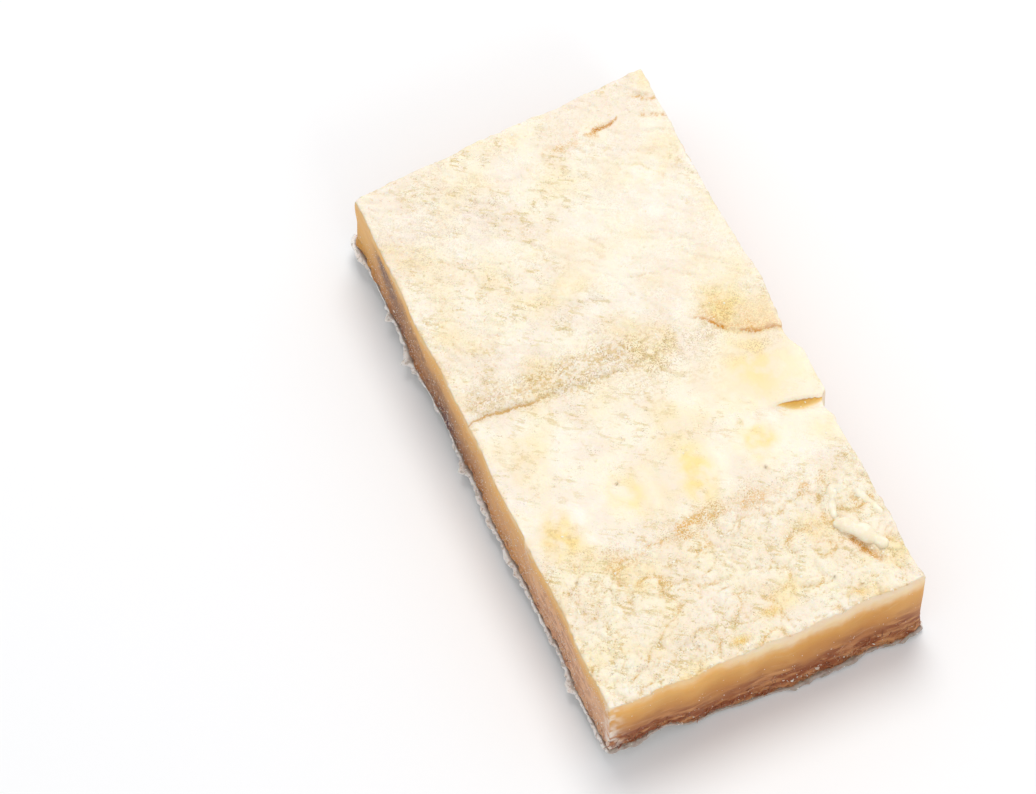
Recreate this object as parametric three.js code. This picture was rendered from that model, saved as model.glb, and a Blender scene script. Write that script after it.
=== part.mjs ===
// A thick portion of salted, dried cod: one slab of flesh sawn from a split fish, with its skin underneath.
// Millimetres, +Z up. X runs across the portion and Y along it. It lies on its skin, salted face up.
import * as THREE from "three";
import { ImprovedNoise } from "three/addons/math/ImprovedNoise.js";

// Driving dimensions
const LENGTH = 175; // sawn length of the salted face, along Y
const WIDTH = 92; // sawn width of the salted face, along X
const HEIGHT = 31; // from the table to the salted face
const SKIN_THICKNESS = 1.2; // dried skin with its scales and salt
const GAP = 0.3; // between the flesh and the skin
const FLAT_SHARE = 0.74; // share of the length and width over which the skin lies flat

// How finely the solids are faceted
const COLUMNS = 34; // squares across the salted face
const ROWS = 64; // squares along it
const TEETH_PER_STEP = 2; // points of the ragged skin edge for each step of the sawn edge

const { lerp, clamp, smoothstep, seededRandom } = THREE.MathUtils;
const perlin = new ImprovedNoise();

// Smooth noise from about -1 to 1, with features of about the given size in millimetres.
const noise = (x, y, size, layer) => perlin.noise(x / size, y / size, layer * 7.31);
// A hump of height 1 that dies away over the given reach.
const bell = (distance, reach) => Math.exp(-((distance / reach) ** 2));

// Where a point of the face lies against a straight line: how far beyond it, and the share of the way along.
function acrossLine(x, y, [x0, y0], [x1, y1]) {
  const length = Math.hypot(x1 - x0, y1 - y0);
  const [dx, dy] = [(x1 - x0) / length, (y1 - y0) / length];
  return {
    beyond: dx * (y - y0) - dy * (x - x0),
    along: (dx * (x - x0) + dy * (y - y0)) / length,
  };
}

// Height of a bar with soft sides and round ends, laid on the face from one point to another.
function bar(x, y, [x0, y0], [x1, y1], reach, height) {
  const [dx, dy] = [x1 - x0, y1 - y0];
  const t = clamp(((x - x0) * dx + (y - y0) * dy) / (dx * dx + dy * dy), 0, 1);
  return height * bell(Math.hypot(x - x0 - t * dx, y - y0 - t * dy), reach);
}

// The sawn outline: how far each edge stands out from a plain rectangle.
const ripple = (t, size, shift) => Math.sin(t / size + shift) * Math.sin(t / (size * 2.7) - shift);
const leftEdge = (y) => -0.4 + 0.45 * ripple(y, 6.1, 1);
const frontEdge = (x) => 0.45 * ripple(x, 3.3, 2);
const farEdge = (x) => -3.1 + 5.9 * clamp(x / WIDTH + 0.5, 0, 1) ** 0.62 + 0.35 * ripple(x, 3.7, 3);

function rightEdge(y) {
  const shoulder = 1.2 * bell(y - 14, 9);
  const notch = -1.3 * bell(y + 6.5, 4.5);
  const padSide = 1.5 * smoothstep(y, -28.5, -26.5) * (1 - smoothstep(y, -14, -9));
  const underLip = -1.1 * bell(y + 31, 2.6);
  return 0.7 + shoulder + notch + padSide + underLip + 0.3 * ripple(y, 4.3, 4);
}

// Where the square (u, v) of the face lies, with u across and v along, both from 0 to 1.
function planPoint(u, v) {
  const x = (u - 0.5) * WIDTH;
  const y = (v - 0.5) * LENGTH;
  return new THREE.Vector2(
    lerp(-WIDTH / 2 - leftEdge(y), WIDTH / 2 + rightEdge(y), u),
    lerp(-LENGTH / 2 - frontEdge(x), LENGTH / 2 + farEdge(x), v),
  );
}

// The salted face: flakes of muscle that end in ledges, a smooth pad with a raised lip, and dried crumbs.
const LEDGE = [[23, 12], [46, -4]]; // the flake edge on the right
const LEDGE_BOW = 2.6; // how far its middle bows towards the near end
const CREASE = [[-46, 7], [24, 3]]; // the shallow fold that runs across from the left
const LIP = [[27, -23], [48, -28]]; // the free edge of the smooth pad
const PAD_MIDDLE = [36, -13];
const PAD_REACH = [19, 13];
const SEGMENT_WALLS = [-29, -8.5, 12, 31]; // between the muscle segments, as places on X
const SEGMENT_MIDDLE = -33; // their middle, on Y
const CURLED_FLAKE = [[34, -66], [42, -73]];
const STANDING_FLAKE = [[33, -62], [37, -53]];
const HOLLOW_BY_FLAKE = [[35, -70], [38, -76]];
const SPLIT_AT_FAR_END = [[25, 76], [29, 79]];
const RUMPLE_AT_CORNER = [[38, 80], [46, 74]];

// A flake edge: sheer on the near side, sloping away on the far side.
const step = (beyond, slope) => Math.exp(beyond > 0 ? -beyond / slope : beyond / 0.9);

function flakeLedges(x, y) {
  const ledge = acrossLine(x, y, ...LEDGE);
  const crease = acrossLine(x, y, ...CREASE);
  const creaseFades = 1 - smoothstep(crease.along, 0.5, 1);
  const beyondBow = ledge.beyond + LEDGE_BOW * bell(ledge.along - 0.52, 0.3);
  return (
    2.2 * smoothstep(ledge.along, -0.15, 0.8) * step(beyondBow, 11) +
    0.9 * creaseFades * step(crease.beyond, 9) -
    0.8 * creaseFades * bell(crease.beyond + 1, 1.8)
  );
}

function smoothPad(x, y) {
  const lip = acrossLine(x, y, ...LIP);
  const fromMiddle = Math.hypot((x - PAD_MIDDLE[0]) / PAD_REACH[0], (y - PAD_MIDDLE[1]) / PAD_REACH[1]);
  const behindLip = smoothstep(lip.beyond, -1.4, 0.6);
  const nearLip = smoothstep(lip.along, -0.5, 0.4);
  const groove = 1.2 * nearLip * bell(lip.beyond + 2.4, 2);
  return behindLip * (1.6 * bell(fromMiddle, 1) + 1.6 * nearLip * bell(lip.beyond, 6)) - groove;
}

function muscleSegments(x, y) {
  const inBand = bell(y - SEGMENT_MIDDLE, 11);
  const bow = 0.022 * (y - SEGMENT_MIDDLE) ** 2; // the walls curve to the left at both ends
  const nearest = Math.min(...SEGMENT_WALLS.map((wall) => Math.abs(x + bow - wall)));
  return inBand * (0.7 * smoothstep(nearest, 1, 8) + 0.35 * bell(nearest, 1.6) - 0.2);
}

function driedCrumbs(x, y) {
  const nearEnd = 1 - smoothstep(y, -52, -40);
  const farHalf = smoothstep(y, 5, 20);
  const acrossGrain = x * 0.48 + y * 0.88; // the grain of the far half slants down to the right
  return (
    nearEnd * (0.8 * noise(x, y, 4.6, 5) + 0.6 * noise(x, y, 8, 6)) +
    farHalf * (0.5 * noise(acrossGrain, x * 0.25, 6, 7) + 0.4 * noise(x, y, 5.5, 8)) +
    0.3 * noise(x, y, 7, 9)
  );
}

function faceHeight(x, y) {
  const swell = 0.8 * noise(x, y, 38, 10);
  const flakes = bar(x, y, ...CURLED_FLAKE, 1.9, 2.0) + bar(x, y, ...STANDING_FLAKE, 1.7, 1.1);
  const splits = bar(x, y, ...HOLLOW_BY_FLAKE, 1.6, 1.2) + bar(x, y, ...SPLIT_AT_FAR_END, 1.7, 1.0);
  const rumple = bar(x, y, ...RUMPLE_AT_CORNER, 2.2, 0.8);
  const forms = flakeLedges(x, y) + smoothPad(x, y) + muscleSegments(x, y) + driedCrumbs(x, y);
  return HEIGHT + swell + forms + flakes - splits - rumple;
}

// The skin side bulges as the fish did, so the skin leaves the table towards its edges, most on the left.
const LEFT_LIFT = 3.4;
const NOTCH = [-29, -87]; // where the skin steps up, beside the near left corner

function edgeLift(x, y) {
  const toLeft = LEFT_LIFT * smoothstep(-x, 18, 32);
  const toFarEnd = 1.6 * smoothstep(y, 30, LENGTH / 2);
  const notch = 2 * bell(Math.hypot(x - NOTCH[0], y - NOTCH[1]), 5);
  const waves = 0.5 * noise(x, y, 13, 11) + 0.5 * noise(x, y, 29, 12);
  return Math.max(0.25, 0.7 + toLeft + toFarEnd + notch + waves);
}

// How far the foot of each sawn side stands out from its top edge, and the frayed skin past the foot.
const FOOT = { left: 0.7, right: -0.8, front: 0.6, far: 2.0 };
const FOOT_SWELL = 1.5; // the foot of the front cut stands out further along its right part
const FRAY = { left: 1.5, right: 1.2, front: 0.6, far: 1.2 };
const LONG_TOOTH = 2.4; // times as long as the others
const LONG_TOOTH_CHANCE = 0.12;

// The squares' corners along the outline, anticlockwise from the near left one, each with its side's name.
function outlineSteps() {
  const steps = [];
  for (let i = 0; i < COLUMNS; i++) steps.push({ i, j: 0, side: "front" });
  for (let j = 0; j < ROWS; j++) steps.push({ i: COLUMNS, j, side: "right" });
  for (let i = COLUMNS; i > 0; i--) steps.push({ i, j: ROWS, side: "far" });
  for (let j = ROWS; j > 0; j--) steps.push({ i: 0, j, side: "left" });
  return steps;
}

// Each step with its place on the plan, the direction out of the slab, and its foot, averaged at corners.
function placedOutline() {
  const steps = outlineSteps().map((at) => ({ ...at, place: planPoint(at.i / COLUMNS, at.j / ROWS) }));
  return steps.map((at, k) => {
    const before = steps.at(k - 1);
    const after = steps[(k + 1) % steps.length];
    const along = after.place.clone().sub(before.place);
    const out = new THREE.Vector2(along.y, -along.x).normalize();
    const swell = at.side === "front" ? FOOT_SWELL * smoothstep(at.place.x, -16, 2) : 0;
    return { ...at, out, foot: (FOOT[at.side] + FOOT[before.side]) / 2 + swell };
  });
}

const outline = placedOutline();

// A ring of points around the slab, standing out from the sawn outline, at a given height for each step.
function outlineRing(standOut, height) {
  return outline.map((at, k) => {
    const place = at.place.clone().addScaledVector(at.out, standOut(at, k));
    return new THREE.Vector3(place.x, place.y, height(at, k));
  });
}

// The ring where the skin begins to leave the table: the outline drawn in towards the middle.
function flatRing(height) {
  const drawnIn = (k, count) => 0.5 + (k / count - 0.5) * FLAT_SHARE;
  return outline.map(({ i, j }) => {
    const place = planPoint(drawnIn(i, COLUMNS), drawnIn(j, ROWS));
    return new THREE.Vector3(place.x, place.y, height);
  });
}

// A growing list of points and triangles, which becomes one closed geometry.
class Shell {
  points = [];
  triangles = [];

  ring(points) {
    const first = this.points.length;
    this.points.push(...points);
    return points.map((_, k) => first + k);
  }

  quad(a, b, c, d) {
    this.triangles.push(a, b, c, a, c, d);
  }

  // Joins two rings of one count, both anticlockwise from above. The faces point away from the slab.
  // The squares are split from the upper ring's own point, or from its next one.
  joinRings(upper, lower, splitFromNext = false) {
    upper.forEach((_, k) => {
      const next = (k + 1) % upper.length;
      if (splitFromNext) this.quad(upper[next], upper[k], lower[k], lower[next]);
      else this.quad(upper[k], lower[k], lower[next], upper[next]);
    });
  }

  // Joins a ring to an outer one with TEETH_PER_STEP times its points, as a fan from each of its own points.
  joinTeeth(ring, teeth, facingUp) {
    const add = (a, b, c) => this.triangles.push(a, facingUp ? b : c, facingUp ? c : b);
    ring.forEach((point, k) => {
      const tooth = (n) => teeth[(k * TEETH_PER_STEP + n) % teeth.length];
      for (let n = 0; n < TEETH_PER_STEP; n++) add(point, tooth(n), tooth(n + 1));
      add(point, tooth(TEETH_PER_STEP), ring[(k + 1) % ring.length]);
    });
  }

  // Fills a flat ring, facing up or down.
  cap(ring, facingUp) {
    const plan = ring.map((k) => new THREE.Vector2(this.points[k].x, this.points[k].y));
    for (const [a, b, c] of THREE.ShapeUtils.triangulateShape(plan, [])) {
      this.triangles.push(ring[a], ring[facingUp ? b : c], ring[facingUp ? c : b]);
    }
  }

  geometry() {
    const made = new THREE.BufferGeometry().setFromPoints(this.points).setIndex(this.triangles);
    made.computeVertexNormals();
    return made;
  }
}

// Rows of the sawn wall, from the salted rim down: share of the height, and share of the foot reached there.
const WALL_ROWS = [[0.955, 0], [0.8, 0.02], [0.5, 0.12], [0.22, 0.45], [0, 1]];
const RIM_DRAWN_IN = 0.35; // the rim of the salted face is rounded over
const RIM_DROP = 0.3;
const SAW_WAVE = 0.25; // unevenness of the sawn walls

function makeFlesh() {
  const shell = new Shell();
  const face = [];
  for (let j = 0; j <= ROWS; j++) {
    const row = [];
    for (let i = 0; i <= COLUMNS; i++) {
      const { x, y } = planPoint(i / COLUMNS, j / ROWS);
      row.push(new THREE.Vector3(x, y, faceHeight(x, y)));
    }
    face.push(shell.ring(row));
  }
  for (let j = 0; j < ROWS; j++) {
    const [near, far] = [face[j], face[j + 1]];
    for (let i = 0; i < COLUMNS; i++) shell.quad(near[i], near[i + 1], far[i + 1], far[i]);
  }

  const rim = outline.map(({ i, j }) => face[j][i]);
  outline.forEach(({ out }, k) => {
    shell.points[rim[k]].add(new THREE.Vector3(-RIM_DRAWN_IN * out.x, -RIM_DRAWN_IN * out.y, -RIM_DROP));
  });

  const under = SKIN_THICKNESS + GAP;
  let upper = rim;
  for (const [share, footShare] of WALL_ROWS) {
    const wave = SAW_WAVE * smoothstep(share, 0, 0.2);
    const standOut = ({ foot, place: { x, y } }) =>
      foot * footShare + wave * noise(x + y, share * 40, 7, 13);
    const height = ({ place: { x, y } }, k) => lerp(edgeLift(x, y) + under, shell.points[rim[k]].z, share);
    const lower = shell.ring(outlineRing(standOut, height));
    shell.joinRings(upper, lower);
    upper = lower;
  }
  const flat = shell.ring(flatRing(under));
  shell.joinRings(upper, flat);
  shell.cap(flat, false);
  return shell.geometry();
}

// The skin dried and frayed along the saw cuts, into teeth of uneven length.
function frayedTeeth() {
  const teeth = [];
  seededRandom(71); // sets the seed
  outline.forEach((at, k) => {
    const next = outline[(k + 1) % outline.length];
    for (let n = 0; n < TEETH_PER_STEP; n++) {
      const share = n / TEETH_PER_STEP;
      const long = seededRandom() < LONG_TOOTH_CHANCE ? LONG_TOOTH : 1;
      const reach = FRAY[at.side] * long * lerp(0.35, 1.15, seededRandom());
      const out = at.out.clone().lerp(next.out, share).normalize();
      const place = at.place.clone().lerp(next.place, share);
      place.addScaledVector(out, lerp(at.foot, next.foot, share) + reach);
      teeth.push({ place, lift: edgeLift(place.x, place.y) + lerp(-0.2, 0.7, seededRandom()) });
    }
  });
  return teeth;
}

function makeSkin() {
  const shell = new Shell();
  const teeth = frayedTeeth();
  const lifted = ({ place, lift }, height) => new THREE.Vector3(place.x, place.y, lift + height);
  const footRing = (height) =>
    outlineRing(({ foot }) => foot, ({ place: { x, y } }) => edgeLift(x, y) + height);

  const top = shell.ring(flatRing(SKIN_THICKNESS));
  const topFoot = shell.ring(footRing(SKIN_THICKNESS));
  const topTeeth = shell.ring(teeth.map((tooth) => lifted(tooth, SKIN_THICKNESS * 0.75)));
  const lowTeeth = shell.ring(teeth.map((tooth) => lifted(tooth, 0)));
  const lowFoot = shell.ring(footRing(0));
  const low = shell.ring(flatRing(0));

  shell.cap(top, true);
  shell.joinRings(top, topFoot, true);
  shell.joinTeeth(topFoot, topTeeth, true);
  shell.joinRings(topTeeth, lowTeeth);
  shell.joinTeeth(lowFoot, lowTeeth, false);
  shell.joinRings(lowFoot, low);
  shell.cap(low, false);
  return shell.geometry();
}

function namedMesh(name, geometry, color, roughness) {
  const mesh = new THREE.Mesh(geometry, new THREE.MeshStandardMaterial({ color, roughness, metalness: 0 }));
  mesh.name = name;
  return mesh;
}

const portion = new THREE.Group();
portion.add(namedMesh("flesh", makeFlesh(), 0xf3e3c3, 0.75), namedMesh("skin", makeSkin(), 0x8f8578, 0.6));

// The origin is under the middle of the whole portion, on the table.
const box = new THREE.Box3().setFromObject(portion);
const middle = box.getCenter(new THREE.Vector3());
portion.position.set(-middle.x, -middle.y, -box.min.z);

export default portion;
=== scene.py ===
import math
from functools import partial
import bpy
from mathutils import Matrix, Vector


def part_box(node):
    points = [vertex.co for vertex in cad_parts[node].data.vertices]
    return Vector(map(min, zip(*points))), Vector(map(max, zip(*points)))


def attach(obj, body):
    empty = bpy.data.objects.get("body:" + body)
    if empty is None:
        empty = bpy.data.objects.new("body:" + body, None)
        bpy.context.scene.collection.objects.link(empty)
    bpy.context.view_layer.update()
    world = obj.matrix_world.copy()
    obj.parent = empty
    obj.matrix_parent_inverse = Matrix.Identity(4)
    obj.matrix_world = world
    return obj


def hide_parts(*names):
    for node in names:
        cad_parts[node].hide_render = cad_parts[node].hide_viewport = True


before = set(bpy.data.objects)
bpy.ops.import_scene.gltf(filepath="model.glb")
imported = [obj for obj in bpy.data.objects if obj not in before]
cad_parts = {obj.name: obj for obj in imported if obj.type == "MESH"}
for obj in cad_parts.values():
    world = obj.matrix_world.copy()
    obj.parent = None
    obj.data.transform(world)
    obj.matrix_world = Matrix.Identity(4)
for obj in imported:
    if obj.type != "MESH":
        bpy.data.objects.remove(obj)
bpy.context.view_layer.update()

from types import SimpleNamespace

import bpy
import numpy as np
from mathutils import Matrix, Vector, noise

# A thick portion of salted, dried cod, lying on its skin with the salted face up.
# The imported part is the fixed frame. Sizes below are in millimetres, and meshes in metres.
mm = 0.001


# The slab of flesh: the thick loin of a large cod, split, salted and dried, then sawn square.
# Its upper face is the inside of the fish, dried to a cream crust of flakes, curds and salt.
# The sawn sides show waxy amber muscle that browns towards the skin.
slab_length = 175
slab_width = 92
slab_height = 31
face_step = 0.5
wall_rows = 28
flat_share = 0.74
skin_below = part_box("flesh")[0].z / mm
layer_gap = 7.31


def bumps(x, y, size, layer):
    """Smooth noise from about -1 to 1 at each point, with features of about the given size."""
    places = zip((x / size).ravel(), (y / size).ravel())
    return np.array([noise.noise((a, b, layer * layer_gap)) for a, b in places]).reshape(x.shape)


def curds(x, y, size, layer):
    """Lumps packed side by side: 1 on a lump and 0 in the crevices between them."""
    places = zip((x / size).ravel(), (y / size).ravel())
    near = [noise.voronoi((a, b, layer * layer_gap))[0] for a, b in places]
    gap = np.array([(d[1] - d[0]) for d in near]).reshape(x.shape)
    return smooth(gap, 0, 0.55)


def folds(x, y, size, layer):
    """Uneven rounded lumps between sharp creases: 0 in a crease and about 0.5 on a lump."""
    return np.abs(bumps(x, y, size, layer))


def blurred(field, reach):
    """A grid of values, each averaged over the square of its neighbours."""
    for axis in (0, 1):
        border = [(reach, reach) if a == axis else (0, 0) for a in (0, 1)]
        padded = np.pad(field, border, "edge")
        field = np.lib.stride_tricks.sliding_window_view(padded, 2 * reach + 1, axis).mean(-1)
    return field


def bell(distance, reach):
    """A hump of height 1 that dies away over the given reach."""
    return np.exp(-((distance / reach) ** 2))


def smooth(value, low, high):
    """0 below low, 1 above high, and an even slope between them."""
    share = np.clip((value - low) / (high - low), 0, 1)
    return share * share * (3 - 2 * share)


def across_line(x, y, start, end):
    """How far each point lies beyond a straight line, and the share of the way along it."""
    run_x, run_y = end[0] - start[0], end[1] - start[1]
    run = math.hypot(run_x, run_y)
    beyond = (run_x * (y - start[1]) - run_y * (x - start[0])) / run
    along = (run_x * (x - start[0]) + run_y * (y - start[1])) / run**2
    return beyond, along


def bar(x, y, start, end, reach):
    """A ridge of height 1 with soft sides and round ends, from one point to another."""
    along = np.clip(across_line(x, y, start, end)[1], 0, 1)
    gap_x = x - start[0] - along * (end[0] - start[0])
    gap_y = y - start[1] - along * (end[1] - start[1])
    return bell(np.hypot(gap_x, gap_y), reach)


def spot(x, y, middle, reach_x, reach_y):
    """A round or oval patch that fades out from 1 in its middle."""
    return bell(np.hypot((x - middle[0]) / reach_x, (y - middle[1]) / reach_y), 1)


def spots(x, y, places):
    """Several patches at once, each given by its strength, its middle and its two reaches."""
    return sum(strength * spot(x, y, middle, *reaches) for strength, middle, *reaches in places)


def bars(x, y, ridges):
    """Several ridges at once, each given by its two ends and its reach."""
    return sum(bar(x, y, *ridge) for ridge in ridges)


def ripple(t, size, shift):
    return np.sin(t / size + shift) * np.sin(t / (size * 2.7) - shift)


def left_edge(y):
    return -0.4 + 0.45 * ripple(y, 6.1, 1)


def front_edge(x):
    return 0.45 * ripple(x, 3.3, 2)


def far_edge(x):
    return -3.1 + 5.9 * np.clip(x / slab_width + 0.5, 0, 1) ** 0.62 + 0.35 * ripple(x, 3.7, 3)


def right_edge(y):
    shoulder = 1.2 * bell(y - 14, 9)
    notch = -1.3 * bell(y + 6.5, 4.5)
    pad_side = 1.5 * smooth(y, -28.5, -26.5) * (1 - smooth(y, -14, -9))
    under_lip = -1.1 * bell(y + 31, 2.6)
    return 0.7 + shoulder + notch + pad_side + under_lip + 0.3 * ripple(y, 4.3, 4)


def plan_point(u, v):
    """Where the square (u, v) of the face lies, with u across and v along, both from 0 to 1."""
    x = (u - 0.5) * slab_width
    y = (v - 0.5) * slab_length
    left = -slab_width / 2 - left_edge(y)
    right = slab_width / 2 + right_edge(y)
    front = -slab_length / 2 - front_edge(x)
    far = slab_length / 2 + far_edge(x)
    return left + (right - left) * u, front + (far - front) * v


def flake_step(beyond, slope):
    """A flake edge: sheer on the near side, sloping away on the far side."""
    return np.exp(np.where(beyond > 0, -beyond / slope, beyond / 0.5))


def terraces(t):
    """Thin flakes lying on each other: a slow slope that ends in a small step at each whole number."""
    share = t - np.floor(t)
    return smooth(share, 0.82, 1) - share


ledge_line = ((23, 12), (46, -4))
ledge_bow = 2.6
ledge_drop, ledge_slope = 1.5, 11


def flake_ledge(x, y, wobble):
    """The edge of a flake of muscle on the right. Its middle bows towards the near end."""
    beyond, along = across_line(x, y, *ledge_line)
    beyond = beyond + wobble + ledge_bow * bell(along - 0.52, 0.3)
    shows = smooth(along, -0.1, 0.5)
    return SimpleNamespace(
        height=ledge_drop * smooth(along, -0.15, 0.8) * flake_step(beyond, ledge_slope),
        beyond=beyond, along=along, shows=shows,
        slope=shows * bell(beyond - 4, 6) * (beyond > -1),
    )


crease_line = ((-46, 7), (24, 3))
crease_drop, crease_slope = 1.0, 9
crack_depth = 0.8


def long_crease(x, y, wobble):
    """The shallow fold that runs across from the left, with a crack along its first stretch."""
    beyond, along = across_line(x, y, *crease_line)
    beyond = beyond + wobble
    shows = 1 - smooth(along, 0.5, 1)
    fold = crease_drop * flake_step(beyond, crease_slope) - 0.4 * bell(beyond + 1, 1.8)
    crack = (1 - smooth(along, 0.24, 0.36)) * bell(beyond + 0.5, 0.8)
    return SimpleNamespace(
        height=shows * fold - crack_depth * crack,
        beyond=beyond, along=along, shows=shows,
        band=shows * bell(beyond - 3.5, 4.5) * smooth(x, -47, -36),
    )


lip_line = ((27, -23), (48, -28))
lip_rise = 1.3
pad_middle, pad_reach = (36, -13), (19, 13)
hollow_depth = 1.0


def smooth_pad(x, y, wobble):
    """The smooth waxy pad on the right, its free lip, and the hollow under the lip."""
    beyond, along = across_line(x, y, *lip_line)
    beyond = beyond + 0.35 * wobble
    behind = smooth(beyond, -0.7, 0.3)
    near_lip = smooth(along, 0.1, 0.55) * (1 - 0.75 * smooth(along, 0.7, 0.95))
    pad = spot(x, y, pad_middle, *pad_reach)
    rise = (0.5 + 1.1 * near_lip) * pad + lip_rise * near_lip * bell(beyond, 6)
    hollow = near_lip * bell(beyond + 1.4, 1.3) * smooth(along, 0.25, 0.5)
    # wedge widens to_lip, which sets the orange painted under the lip: partly its amber underside, partly
    # painted shadow of the lip
    wedge = 1 + 6 * smooth(along, 0.3, 0.6) * (1 - 0.8 * smooth(along, 0.6, 1))
    return SimpleNamespace(
        height=behind * rise - hollow_depth * hollow,
        shows=pad * behind,
        lip=smooth(along, 0.3, 0.36),
        to_lip=0.5 + beyond / wedge,
    )


segment_walls = (-29, -8.5, 12, 31)
segment_middle, segment_reach = -33, 11


def muscle_segments(x, y):
    """Low swellings between the bowed pale walls that part the segments of muscle."""
    in_band = bell(y - segment_middle, segment_reach)
    bow = 0.022 * (y - segment_middle) ** 2
    from_wall = np.min([np.abs(x + bow - wall) for wall in segment_walls], axis=0)
    return SimpleNamespace(
        height=in_band * (0.7 * smooth(from_wall, 1, 8) + 0.4 * bell(from_wall, 1.5) - 0.2),
        walls=in_band * bell(from_wall, 2.2),
    )


def lumpy_end(x, y, warp_x, warp_y):
    """The near end, where the flesh dried into lumps with crevices between them."""
    shows = 1 - smooth(y, -54, -41)
    clusters = smooth(bumps(x, y, 12, 7), -0.35, 0.3)
    coarse = folds(warp_x, warp_y, 6.6, 5)
    small = folds(warp_x, warp_y, 3.1, 6)
    lumps = 1.5 * np.sqrt(coarse) + 0.9 * np.sqrt(small) - 1.0 + 0.35 * bumps(warp_x, warp_y, 1.9, 59)
    creases = 1 - smooth(coarse, 0.01, 0.1) + 0.8 * (1 - smooth(small, 0.01, 0.09))
    return SimpleNamespace(
        height=shows * (0.6 + 0.45 * clusters) * lumps,
        shows=shows, clusters=clusters, lumps=lumps,
        creases=shows * creases * smooth(bumps(x, y, 5, 62), -0.4, 0.15),
    )


def slanting_fibres(warp_x, warp_y):
    """The fibres and thin flakes of the far half, which slant down to the right."""
    along_grain = 0.82 * warp_x - 0.57 * warp_y
    across_grain = 0.57 * warp_x + 0.82 * warp_y
    fibre = folds(along_grain / 4, across_grain, 1.7, 41)
    fibre = fibre + 0.9 * folds(along_grain / 2, across_grain, 4.3, 42)
    flakes = terraces(across_grain / 6 + 1.6 * bumps(along_grain / 2, across_grain, 8, 43))
    return 0.65 * (fibre - 0.4) + 0.4 * flakes


# places of single forms and stains on the face
curl_beds = (((33, -65), (37.5, -67.5), 1.6), ((37.5, -67.5), (41.5, -73.5), 1.8))
hollow_by_curl = ((34.5, -69), (38.5, -77.5), 1.3)
far_split = ((26.2, 77), (31, 77.6), 0.7)
corner_rumples = (((41, 82.5), (46, 79.7), 0.9), ((39.7, 76.6), (46.4, 73.3), 0.6))
granular_middle = -46.5
granular_lines = (((-30, -49.6), (-12.6, -48.2), 0.6), ((-12.6, -48.2), (-3, -51), 0.5))
granular_clots = (
    (1, (-3, -47), 8, 2.5),
    (1, (15, -48), 6, 2.5),
    (1, (31, -50), 4, 2.2),
    (1, (41, -60), 5, 2.5),
    (0.7, (20, -62), 8, 2),
)
near_end_spots = [(1, at, 2.4, 1.3) for at in ((-5.6, -83.4), (5.2, -79.2), (28, -84))]
far_clot_cores = (((26.2, 77), (30.6, 77.4), 0.7), ((30, 77.4), (33, 78.2), 0.4))
far_clot_stains = ((0.9, (24, 77), 4, 1.8), (0.6, (16, 75), 6, 2))
olive_spots = (
    (1, (11, 76), 3, 1.2), (1, (-6, 55), 3, 1.2), (1, (-38, 71), 4, 1),
    (1, (-30, 79), 5, 1.5), (1, (43, 60), 3, 4), (1, (-20, 44), 5, 1.5),
    (1, (38, 24), 5, 1.5), (1, (-36, 50), 4, 1.5), (1, (2, 30), 4, 1.2),
)
below_ledge_spots = ((1, (14, 3), 20, 7), (0.8, (38, -6), 8, 2.5))
first_patch = (1, (-36, -36), 5, 6)
other_patches = ((0.45, (-15, -31), 6, 6), (1, (4.5, -35), 4, 8), (1, (25, -32), 5, 5))
grey_spots = (
    (0.8, (-28, 66), 17, 10),
    (0.6, (19, 57), 4, 6),
    (0.2, (-16, 12), 22, 6),
    (0.18, (42, -52), 6, 7),
)
grit_places = ((-16, -28), (22.5, -40.5), (-38, -50), (24.8, -77.5))
grit_specks = [(1, at, 0.4, 0.4) for at in grit_places]
lip_crumbs = (40.5, -27.8)
line_span = 8


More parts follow.
